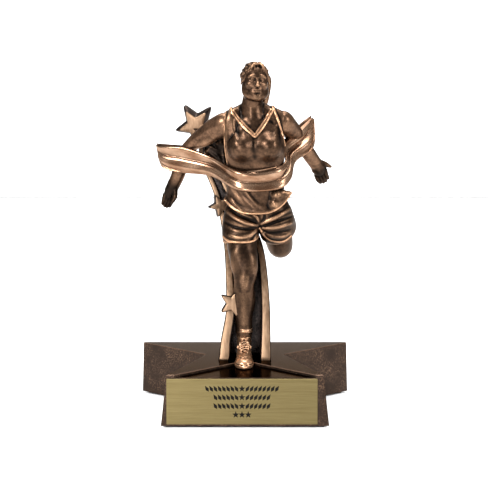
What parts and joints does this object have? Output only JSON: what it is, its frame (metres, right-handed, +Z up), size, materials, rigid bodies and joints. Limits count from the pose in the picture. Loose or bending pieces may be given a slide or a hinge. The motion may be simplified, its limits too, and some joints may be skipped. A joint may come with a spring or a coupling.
{
  "type": "figure trophy",
  "caption": "Resin award of a runner breaking a finish tape in front of a comet tail with stars, on a star-shaped base with a metal name plate.",
  "frame": {"origin": "under the middle of the star, on the felt's underside, where the trophy meets its shelf", "axes": "+Z up, +Y to the back, +X to the viewer's right when the name plate faces the viewer"},
  "size_m": [0.1078, 0.1044, 0.1695],
  "materials": {
    "bronze_resin": "antique bronze, dark in the folds and rubbed on the ridges",
    "copper_resin": "polished copper highlight over dark bronze",
    "dark_resin": "near-black bronze wash",
    "base_resin": "lacquered dark bronze with rubbed copper edges",
    "plate_metal": "brushed satin gold with dark engraved lines",
    "adhesive": "matte",
    "felt": "napped black felt",
    "steel": "zinc plated"
  },
  "bodies": {
    "root": {"star_base": "base_resin", "felt_pad": "felt", "name_plate": "plate_metal", "plate_adhesive": "adhesive", "foot_screw": "steel", "foot_washer": "steel", "tail_screws": "steel", "tail_washers": "steel", "standing_leg": "bronze_resin", "standing_shoe": "copper_resin", "trailing_leg": "bronze_resin", "trailing_shoe": "copper_resin", "shorts": "bronze_resin", "torso": "bronze_resin", "head": "bronze_resin", "ponytail": "bronze_resin", "right_arm": "bronze_resin", "left_arm": "bronze_resin", "ribbon_band": "copper_resin", "ribbon_left_streamer": "copper_resin", "ribbon_right_streamer": "copper_resin", "tail_panel": "dark_resin", "left_trail": "copper_resin", "right_trail": "copper_resin", "top_star": "copper_resin", "middle_star": "copper_resin", "lower_star": "copper_resin", "neck_pin": "steel", "shoulder_pins": "steel", "waist_pin": "steel", "hip_pins": "steel", "ankle_pins": "steel", "star_pins": "steel", "streamer_pins": "steel"}
  },
  "joints": []
}
